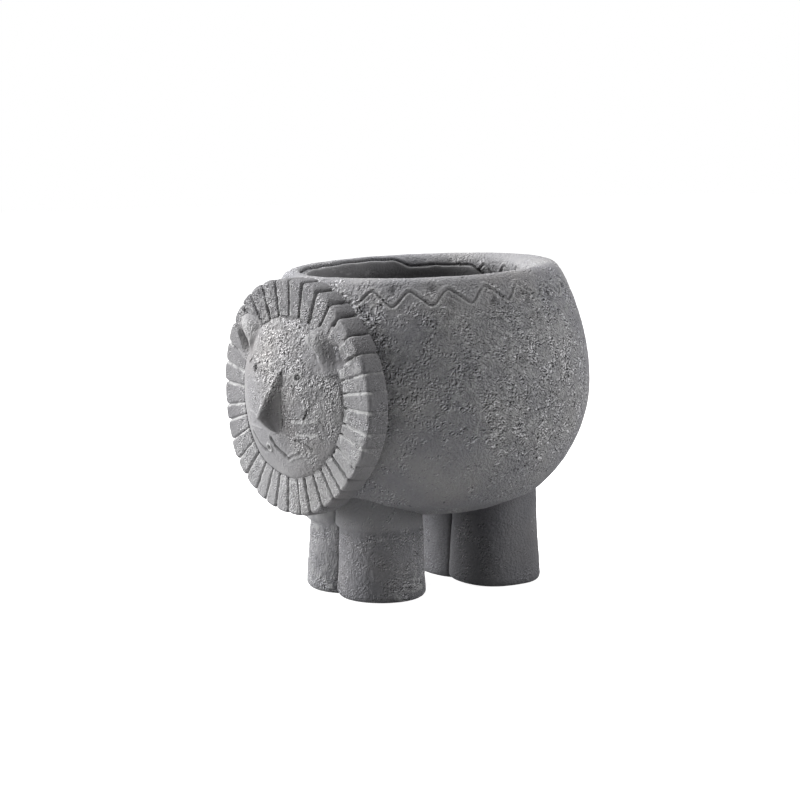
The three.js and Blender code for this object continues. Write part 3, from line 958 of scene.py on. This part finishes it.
def make_mane():
    """Rows run from the hole over the front and the rounded edge, back along the flank and down the neck. A
    groove is a wedge across its line, and a lock falls off towards both its grooves by a power of the place
    across it. At the head's upper left the locks are blocks with deeper grooves."""
    stretches = mane_path()
    path = np.concatenate(stretches)
    stretch = np.repeat(np.arange(5), [len(part) for part in stretches])[:, None]
    angle = full_turn(mane_columns)
    radius, reach = path[:, :1], path[:, 1:]

    across, turn_away, lock, nearest = locks_at(angle)
    flat = on_head(radius + 0 * angle, angle, reach + 0 * angle)
    distance = turn_away * radius + 0.3 * noise(flat, 2.6, 50)
    top = smooth(0.2, 0.8, np.sin(angle))
    bottom = smooth(0.3, 0.9, -np.sin(angle))
    near_side = smooth(0.3, 0.9, np.cos(angle))
    blocks = bell(np.degrees(angle) - blocks_at, blocks_width)

    on_front = (stretch == 1) * 1.0
    behind = np.clip(mane_front - reach, 0, mane_flank) * (stretch > 0)
    kept = unit(0.12 + 0.65 * top + 0.6 * blocks)
    fading = np.where(stretch == 0, 0, 1 - (1 - kept) * smooth(0.6, 3.2, behind)) * (1 - 0.8 * (stretch == 4))
    half_width = 0.65 + 0.3 * top + 0.2 * bottom
    groove = unit(1 - distance / half_width) ** 0.8 * fading
    depth = (0.55 + 0.9 * top + 0.6 * bottom + 0.9 * blocks) * (0.7 + 0.6 * lock_random(52)[nearest])
    rounded = 0.45 * np.abs(across) ** 6 * fading
    outer = smooth(mane_half_height - 7, mane_half_height, radius) * unit(1.2 - behind / mane_flank)
    scallop = (1.2 + 1.2 * blocks) * across**4 * outer * (stretch < 4)
    # Painted highlight: the wall of each groove that faces the lamps, up and to the lion's right, is painted
    # pale.
    after_groove = np.where(across < 0, 1, -1)
    lit_wall = unit(-after_groove * (0.75 * np.sin(angle) + 0.65 * np.cos(angle)))
    painted_highlight = bell(distance - 0.7 * half_width, 0.62) * unit(1.8 * lit_wall) * fading
    painted_highlight = painted_highlight * smooth(-0.8, 0.2, noise(flat, 3.2, 56)) * (1 - 0.2 * top)

    grid = on_head(radius - scallop, angle, reach + 0 * angle)
    normal = -normals_of(flat)
    patches = smooth(-0.3, 0.5, noise(grid, 20, 53))
    coarse = unit(0.3 + 0.5 * patches + 0.3 * top) * (0.5 + 0.5 * on_front)
    height, marks = hand_worked(grid, coarse, seed=60)
    uneven = 0.5 * (lock_random(54)[lock] - 0.5) * fading
    dent = ear_dent(grid[..., 0], grid[..., 2]) * on_front
    height = 0.7 * height + uneven - rounded - depth * groove
    grid = grid + normal * np.where(stretch == 0, 0, height)[..., None]
    grid[..., 1] += dent
    # Grooves hold dust and are painted darker as shade, less on the wall that faces the lamps. The top of the
    # mane, its flank and its neck are painted darker as shade.
    dust_and_shade = 0.05 + 0.55 * top + 0.25 * bottom + 0.2 * blocks
    darken(marks, dust_and_shade * groove * (1 - 0.7 * lit_wall) + 0.12 * top + 0.14 * (stretch > 2))
    # Painted highlights on the inner ends of the locks and on the lips of the ear hollows, and painted light
    # on the bottom and the near side of the mane.
    inner_end = bell(radius - face_radius - 0.6, 0.7) * smooth(-0.3, 0.5, noise(grid, 2.2, 55))
    lip = bell(dent - 0.9, 0.7) * (dent > 0.1) * smooth(-0.4, 0.3, noise(grid, 2.2, 57))
    painted_mane_light = 0.7 * (inner_end + lip) + 0.34 * bottom + 0.15 * near_side
    add_wear_and_highlight(marks, 2.6 * painted_highlight + painted_mane_light * on_front)
    make_piece("mane", "mane_ring", mane_cement_shaded, bedded(grid), marks, closed=True)


make_mane()

# %% [markdown]
# ## The face
# The face is a shallow dome inside the mane. Eyes, whiskers and the smile were scratched into it with a
# stick. They could be sculpted by hand, but a line of points on the dome can be moved later, and the depth
# follows from the distance to that line. The upper half and the near cheek are dabbed and sandy, the chin is
# smooth.

# %% Lines on the face
near_eye, far_eye = (16.4, 110.1), (-20.6, 111.0)
smile_left = ((-27.1, 79.1), (-24.3, 76.3), (-21.1, 73.7), (-17.1, 72.0), (-12.8, 72.1))
smile_right = ((-6.1, 78.7), (-4.0, 75.5), (-0.5, 72.5), (4.5, 70.1))
smile_tail = ((4.5, 70.1), (10.2, 71.9), (15.1, 74.3))
smile_knob = (-9.7, 74.0)
upper_whisker = ((11.4, 88.4), (18.5, 88.7), (24.5, 89.6), (28.9, 90.2))
lower_whisker = ((14.6, 82.6), (22.0, 82.9), (26.4, 82.9), (28.9, 82.2))
short_whisker = ((12.5, 79.8), (18.4, 78.5), (22.2, 76.2))
nick = ((23.7, 95.4), (22.6, 93.0), (21.2, 90.5))
eye_ring, eye_burr, knob_burr = 1.0, 2.1, 1.8


def line_distance(x, z, line):
    """Distance of each place to a line of points, measured to the nearest of its stretches."""
    nearest = np.full(x.shape, 1e9)
    for (x0, z0), (x1, z1) in zip(line[:-1], line[1:]):
        length = (x1 - x0) ** 2 + (z1 - z0) ** 2
        along = unit(((x - x0) * (x1 - x0) + (z - z0) * (z1 - z0)) / length)
        nearest = np.minimum(nearest, np.hypot(x - x0 - along * (x1 - x0), z - z0 - along * (z1 - z0)))
    return nearest


def scratch(x, z, line, width):
    """Depth of a scratched line from 0 to 1, and of the burr on its two sides. Its width wanders a little."""
    points = np.stack((x, 0 * x, z), -1)
    distance = line_distance(x + 0.4 * noise(points, 3, 76), z + 0.4 * noise(points, 3, 77), line)
    return bell(distance, width), bell(distance - 2 * width, width)


def face_lines(x, z):
    """Depth of everything that is scratched into the face, its painted shade, and the painted highlights on
    its burrs and whiskers. A line is listed with its depth, its width, the painted shade and the painted
    highlight in it, and the burr beside it."""
    near = np.hypot(x - near_eye[0], z - near_eye[1])
    far = np.hypot((x - far_eye[0]) / 0.7, z - far_eye[1])
    knob = np.hypot(x - smile_knob[0], z - smile_knob[1])
    depth = 0.8 * bell(near - eye_ring, 0.5) - 0.35 * bell(near - eye_burr, 0.5) + 3.0 * bell(far, 1.9)
    depth = depth + 0.8 * bell(knob, 0.8) - 0.8 * bell(knob - knob_burr, 0.7)
    dark = 0.55 * bell(near - eye_ring, 0.45) + 1.5 * bell(far, 2.0) + 0.7 * bell(knob, 0.8)
    bright = 0.5 * bell(near, 0.5) + 0.7 * bell(near - eye_burr, 0.5) + bell(knob - knob_burr, 0.6)
    lines = [(smile_right, 1.6, 0.9, 0.9, 0.0, 0.15), (smile_left, 0.5, 1.0, 1.0, 0.0, 0.15)]
    lines += [(smile_tail, 0.4, 0.55, 0.12, 0.0, 0.4), (short_whisker, 0.7, 0.5, 0.6, 0.0, 0.2)]
    lines += [(nick, 0.9, 0.5, 0.9, 0.0, 0.3)]
    for line in (upper_whisker, lower_whisker):
        far_line = [(-px, pz) for px, pz in line]
        lines += [(line, -0.6, 0.75, 0.0, 1.4, 0.0), (far_line, -0.3, 0.6, 0.0, 0.3, 0.0)]
    patchy = smooth(-0.5, 0.2, noise(np.stack((x, 0 * x, z), -1), 2.4, 78))
    for line, deep, width, painted_groove_shade, painted_highlight, raised in lines:
        groove, burr = scratch(x, z, line, width)
        depth = depth + deep * groove - raised * burr
        dark = dark + painted_groove_shade * groove
        bright = bright + (painted_highlight * groove + raised * burr) * patchy
    return depth, dark, bright


nick_depth = face_lines(*np.array(nick).T)[0]
print("depth along the nick, mm:", np.round(nick_depth, 1))

# %% Face
face_columns, face_rows = 560, 110


def make_face():
    """Rows run from the middle of the dome to its edge, then back into the head."""
    angle = full_turn(face_columns)
    radius = np.linspace(0.4, face_radius, face_rows)[:, None]
    reach = dome_middle + np.sqrt(dome_radius**2 - radius**2)
    ledge = bell(face_radius - radius, 1.5) * (0.25 + 0.75 * smooth(-0.5, 0.3, np.cos(angle)))
    front = on_head(radius + 0 * angle, angle, reach - ledge)
    x, z = front[..., 0], front[..., 2]
    sandy = smooth(-26, 10, z - head_z + 0.6 * x + 14 * layered(front, 16, 71, 2))
    coarse = unit(0.15 + 0.75 * sandy * smooth(-36, -14, x))
    height, marks = hand_worked(front, coarse, seed=80)
    depth, dark, bright = face_lines(x, z)
    along = np.stack((0.4 * (x + z), 0 * x, 0.7 * (x - z)), -1)
    dragged = coarse * crinkles(along, 1.5, 75)
    height = height + 0.15 * dragged - depth - ear_dent(x, z)
    marks["wear_and_highlight"] = 0.6 * marks["wear_and_highlight"]
    add_wear_and_highlight(marks, 0.3 * unit(dragged - 0.2))
    # Painted highlights on the burrs and whiskers.
    add_wear_and_highlight(marks, bright)
    marks["grime_and_shade"] = marks["grime_and_shade"] * (coarse > 0.3)
    # Painted shade in the scratched lines and the eyes, and over the near cheek.
    darken(marks, 0.9 * dark + 0.1 * sandy * smooth(0, 25, x))
    front = front - normals_of(front) * height[..., None]
    back_radius = np.array([[face_radius - 0.5], [face_radius * 0.5], [1.0]])
    back = on_head(back_radius + 0 * angle, angle, neck_reach + 0 * back_radius + 0 * angle)
    marks = with_hidden_rows(marks, len(back))
    grid = bedded(np.concatenate((front, back)))
    make_piece("lion_face", "face", head_cement, grid, marks, flat=(len(front) - 1,))


make_face()

# %% [markdown]
# ## The nose
# The nose is a long wedge: narrow between the eyes, wide and rounded below, with a ridge between two planes.
# A scaled cone would have no ridge. So it is lofted from closed sections, each a blunt arch in front and a
# shallow bow behind, which is sunk in the face.

# %% Nose
nose_low, nose_high = box_of("nose")
nose_straight_side = 6.0
nose_width, nose_tip_width = 14.0, 2.4
nose_depth, nose_sunk = 9.0, 4.0
nose_draw_in = 6.0
nose_full, nose_end = 0.24, 0.94
nose_columns, nose_rows = 220, 120


def make_nose():
    """Rows run up the nose. Its left side is upright and its right side slants, so the ridge between them
    leans. Width and depth follow one taper and a round bottom. Across, the height falls from the ridge like a
    blunt arch: one minus the place to the power 1.8, to the power 0.7."""
    share = np.linspace(0.002, 0.998, nose_rows)[:, None]
    angle = full_turn(nose_columns)
    in_front = np.sin(angle) > 0
    z = nose_low[2] + share * (nose_high[2] - nose_low[2])
    bottom = unit(share / nose_full)
    below = np.sqrt(1 - (1 - bottom) ** 2)
    taper = 1 - unit((share - nose_full) / (0.97 - nose_full))
    ending = np.sqrt(unit(1 - unit((share - nose_end) / 0.06) ** 2))
    width = (nose_tip_width + (nose_width - nose_tip_width) * taper) * ending * below
    deep = nose_depth * (0.12 + 0.88 * taper) * ending * bottom**0.7
    across = np.cos(angle)
    arch = unit(1 - np.abs(across) ** 1.8) ** 0.7
    proud = np.where(in_front, deep * arch, -nose_sunk * np.abs(np.sin(angle)) * ending * below)
    x = nose_straight_side - nose_draw_in * (1 - below) - width / 2 + width / 2 * across
    reach = dome_reach(x, z + 0 * angle) + proud - 0.3
    grid = np.stack((x, axis_y - reach, z + 0 * angle), -1)
    coarse = unit(0.3 + 0.7 * smooth(0.3, 0.7, share - 0.25 * across) + 0.3 * noise(grid, 9, 91))
    height, marks = hand_worked(grid, coarse, seed=95)
    grid = grid - normals_of(grid) * (0.5 * height * np.minimum(1, width / 6))[..., None]
    # Painted light on the nose: a highlight along its lower right border, and painted shade on the plane
    # right of its ridge.
    painted_edge_highlight = bell(across - 1, 0.03) * smooth(0.7, 0.4, share) * in_front
    painted_shade_plane = smooth(0.05, 0.3, across) * smooth(1.0, 0.6, across) * smooth(0.85, 0.4, share) * in_front
    add_wear_and_highlight(marks, 0.6 * painted_edge_highlight)
    darken(marks, 0.7 * painted_shade_plane)
    make_piece("lion_nose", "nose", head_cement, grid, marks)


make_nose()

# %% [markdown]
# ## The ears
# An ear is a mound beside a pocket that was pressed into the border of face and mane. Cutting the pocket with
# a Boolean would leave a sharp edge. So the ear is a round patch on the head, whose height rises to the mound
# and drops in the pocket. Face and mane already give way under it.

# %% Ears
ear_columns, ear_rows = 200, 72
ear_edge_drop, ear_sunk = 2.5, 10.0


def make_ear(name):
    """An ear on the border of the face. Rows run from its middle to its foot and back inside the head."""
    middle_x, middle_z, side = ear_place(name)
    angle = full_turn(ear_columns)
    share = np.linspace(0.01, 1, ear_rows)[:, None]
    outwards = ear_middle[0] + ear_half_width * share * np.cos(side * angle)
    up = ear_middle[1] + ear_half_height * share * np.sin(side * angle)
    height, deep = ear_height(name, outwards, up)
    x, z = middle_x + side * outwards, middle_z + up
    y = axis_y - head_reach(x, z) - height + ear_edge_drop * smooth(0.88, 1, share)
    front = np.stack((x, y, z), -1)
    coarse = unit(0.3 + 0.3 * noise(front, 8, 101) + 0.5 * deep * (side < 0))
    worked, marks = hand_worked(front, coarse, seed=105)
    front[..., 1] -= 0.7 * worked + 0.3 * layered(front, 5, 109, 2)
    # Painted shade in the pocket, and a painted highlight on the top of the mound.
    darken(marks, 0.4 * deep)
    add_wear_and_highlight(marks, 0.3 * smooth(1.0, 3.0, height))
    back = front[-1:] * 1.0
    back[..., 1] = axis_y - mane_front + ear_sunk
    marks = {key: np.concatenate((mark, mark[-1:])) for key, mark in marks.items()}
    grid = np.concatenate((front, back))
    make_piece(f"{name}_lion_ear", f"{name}_ear", head_cement, grid, marks)


for ear_name in ear_shift:
    make_ear(ear_name)

# %% [markdown]
# ## The legs
# Each leg is a stubby round column with a rounded foot. The front ones thicken in a ledge under the belly.
# The two legs of a pair touch along a crease, so each is pressed flat there. A cylinder could be bevelled,
# but a path turned like that of the bowl gives the rounding and the rough surface in one go.

# %% Legs
leg_spread, leg_reach = 13.4, 34.4
foot_radius, foot_rounding = 21.4, 3.5
leg_taper = 2.0
leg_top_z = 62.0
ledge_low, ledge_high, ledge_turn = 33.5, 36.0, 12
leg_columns = 260
crease = 0.02


def under_bowl(grid):
    """A leg that ends inside the bowl's wall: points above it are drawn down to it."""
    from_axis = np.hypot(grid[..., 0], grid[..., 1] - axis_y)
    arc = waist_z - belly_drop * np.sqrt(unit(1 - (from_axis / bowl_radius) ** 2))
    limit = np.maximum(arc, underside_z) + sunk
    return np.concatenate((grid[..., :2], np.minimum(grid[..., 2], limit)[..., None]), -1)


def make_leg(name, side, end, squareness, shoulder, stippled, pale_patches):
    """Rows run from the middle of the sole, round the edge of the foot and up into the belly. A shoulder
    thickens the leg in a ledge under the belly, and squareness swells its corners. Stippled is how coarse its
    surface is, and the last argument how much paler its surface is painted, in patches."""
    bend = np.linspace(-np.pi / 2, 0, 40)
    sole = evenly(np.array([[0.5, 0.0], [foot_radius - foot_rounding, 0.0]]), 2.0)
    arc = np.stack((np.cos(bend), 1 + np.sin(bend)), 1) * foot_rounding
    edge = evenly(arc + np.array([foot_radius - foot_rounding, 0]), 0.6)
    top_radius = foot_radius - leg_taper * leg_top_z / underside_z
    column = evenly(np.array([[foot_radius, foot_rounding], [top_radius, leg_top_z]]), 0.62)
    path = np.concatenate((sole, edge[1:], column[1:]))
    around = full_turn(leg_columns)
    grid, normal = turned(path, around)
    facing = smooth(0.1, 0.9, np.cos(around - side * np.radians(ledge_turn)))
    ledge = shoulder * smooth(ledge_low, ledge_high, path[:, 1:]) * facing
    swell = 1 + squareness * np.sin(2 * around) ** 2
    grid = widened(grid, swell * (1 + ledge / np.maximum(path[:, :1], 1)))
    grid = grid + np.array([side * leg_spread, axis_y + end * leg_reach, 0])
    coarse = stippled * (0.9 + 1.1 * smooth(-0.4, 0.5, noise(grid, 20, 111)))
    coarse = coarse * (1 - 0.6 * smooth(30, 37, grid[..., 2]))
    height, marks = hand_worked(grid, coarse, seed=120)
    grid = grid + normal * (height * smooth(0, 3, grid[..., 2]))[..., None]
    pressed = np.maximum(side * grid[..., 0], crease)
    grid[..., 0] = side * pressed
    grid[..., 2] = np.maximum(grid[..., 2], 0)
    on_ledge = (shoulder > 0) * smooth(33, 37, grid[..., 2])
    # Painted shade in the crease between the two legs of a pair and over the rear legs under the belly, and
    # painted light on the ledge of the front legs.
    darken(marks, 0.6 * bell(pressed, 1.2) + 0.2 * (end > 0))
    add_wear_and_highlight(marks, 0.22 * on_ledge + pale_patches * (1.2 + noise(grid, 2.5, 131)))
    make_piece(f"{name}_stump", name, leg_cement_shaded, under_bowl(grid), marks)


leg_kinds = {
    "front": {"end": -1, "squareness": 0.0, "shoulder": 2.6, "stippled": 0.5},
    "rear": {"end": 1, "squareness": 0.07, "shoulder": 0.0, "stippled": 0.2},
}
pale_patch_legs = {"front_right_leg": 0.2}
for end_name, kind in leg_kinds.items():
    for side_name, side in (("left", 1), ("right", -1)):
        leg_name = f"{end_name}_{side_name}_leg"
        make_leg(leg_name, side, pale_patches=pale_patch_legs.get(leg_name, 0.0), **kind)

# %% [markdown]
# ## Floor, light and camera
# The pot stands on a plain white sweep. The floor is white for the camera but keeps the soft shadow under
# the feet: a grey that takes the shadow, with a glow that only the camera sees. A large lamp stands before
# the lion's right shoulder, one hangs high at its right, and a weak one stands behind its left flank. An even
# light from all round fills the shadows. A backdrop could be modelled, but this is enough for a white one.

# %% Floor and even light
floor_half = 4.0
floor_grey, floor_shown, floor_glow = 0.4, 0.8, 0.88
fill_strength = 0.215


def camera_share(tree):
    """1 where the camera looks straight at a surface, or sees it in gloss or through glass."""
    path = tree.nodes.new("ShaderNodeLightPath")
    seen = calculated(tree, "MAXIMUM", path.outputs["Is Camera Ray"], path.outputs["Is Glossy Ray"])
    return calculated(tree, "MAXIMUM", seen, path.outputs["Is Transmission Ray"])


def make_floor():
    """A wide square at the height of the feet, whose material is grey light plus the camera's own white."""
    corners = [(x * floor_half, y * floor_half, 0) for x, y in ((-1, -1), (1, -1), (1, 1), (-1, 1))]
    mesh = bpy.data.meshes.new("floor")
    mesh.from_pydata(corners, [], [(0, 1, 2, 3)])
    finish = bpy.data.materials.new("white_sweep")
    finish.use_nodes = True
    tree = finish.node_tree
    tree.nodes.remove(tree.nodes["Principled BSDF"])
    seen = camera_share(tree)
    grey = tree.nodes.new("ShaderNodeBsdfDiffuse")
    tree.links.new(stretched(tree, seen, 0, 1, floor_grey, floor_shown), grey.inputs["Color"])
    glow = add(tree, "ShaderNodeEmission", Color=(1, 1, 1, 1))
    tree.links.new(calculated(tree, "MULTIPLY", seen, floor_glow), glow.inputs["Strength"])
    both = tree.nodes.new("ShaderNodeAddShader")
    tree.links.new(grey.outputs[0], both.inputs[0])
    tree.links.new(glow.outputs[0], both.inputs[1])
    tree.links.new(both.outputs[0], tree.nodes["Material Output"].inputs["Surface"])
    mesh.materials.append(finish)
    floor = placed("floor", mesh)


def set_even_light():
    """A world that is white to the camera and a soft fill to the pot."""
    world = bpy.data.worlds.new("even_light")
    world.use_nodes = True
    bpy.context.scene.world = world
    tree = world.node_tree
    light = tree.nodes["Background"]
    light.inputs["Color"].default_value = (1, 1, 1, 1)
    strength = stretched(tree, camera_share(tree), 0, 1, fill_strength, 1)
    tree.links.new(strength, light.inputs["Strength"])


make_floor()
set_even_light()
print("floor is", 2 * floor_half, "m wide, and the even light has strength", fill_strength)

# %% Lamps
lamp_distance, lamp_aim_height = 1.4, 0.09


def add_lamp(name, azimuth, elevation, size, watts):
    """A square lamp that looks at the middle of the pot. Azimuth 0 is in front of the lion, 90 at its
    left."""
    turn, rise = math.radians(azimuth), math.radians(elevation)
    target = Vector((0, axis_y * MM, lamp_aim_height))
    level = math.cos(rise)
    offset = Vector((math.sin(turn) * level, -math.cos(turn) * level, math.sin(rise)))
    lamp = bpy.data.lights.new(name, "AREA")
    lamp.energy = watts
    lamp.size = size
    holder = placed(name, lamp)
    holder.location = target + offset * lamp_distance
    holder.rotation_euler = (-offset).to_track_quat("-Z", "Y").to_euler()


lamps = {
    "front_lamp": {"azimuth": -45, "elevation": 14, "size": 0.9, "watts": 27.5},
    "high_lamp": {"azimuth": -80, "elevation": 58, "size": 0.8, "watts": 22.5},
    "back_lamp": {"azimuth": 140, "elevation": 20, "size": 0.8, "watts": 10.0},
}
for lamp_name, lamp in lamps.items():
    add_lamp(lamp_name, **lamp)
print(len(lamps), "lamps stand", lamp_distance, "m from the pot")

# %% Camera
camera_turn, camera_distance, camera_height = 54.43, 1100.0, 231.7
look_height, aim_right, aim_up = 80.0, -11.6, 11.48
focal_length, sensor_width = 101.02, 36.0


def add_camera():
    """The viewpoint: turned to the lion's left, a little above the rim, through a long lens. It aims at the
    point that lies in the middle of the picture, left of and above the bowl's middle."""
    turn = math.radians(camera_turn)
    back = camera_distance * math.cos(turn)
    eye = Vector((camera_distance * math.sin(turn), axis_y - back, camera_height)) * MM
    middle = Vector((0, axis_y, look_height)) * MM
    sight = (middle - eye).normalized()
    right = sight.cross(Vector((0, 0, 1))).normalized()
    above = right.cross(sight)
    aim = middle + (aim_right * right + aim_up * above) * MM
    lens = bpy.data.cameras.new("camera")
    lens.sensor_width = sensor_width
    lens.lens = focal_length
    camera = placed("camera", lens)
    camera.location = eye
    camera.rotation_euler = (aim - eye).to_track_quat("-Z", "Y").to_euler()
    bpy.context.scene.camera = camera


add_camera()
bpy.context.scene.view_settings.view_transform = "Standard"
print("camera stands", camera_turn, "degrees to the lion's left")
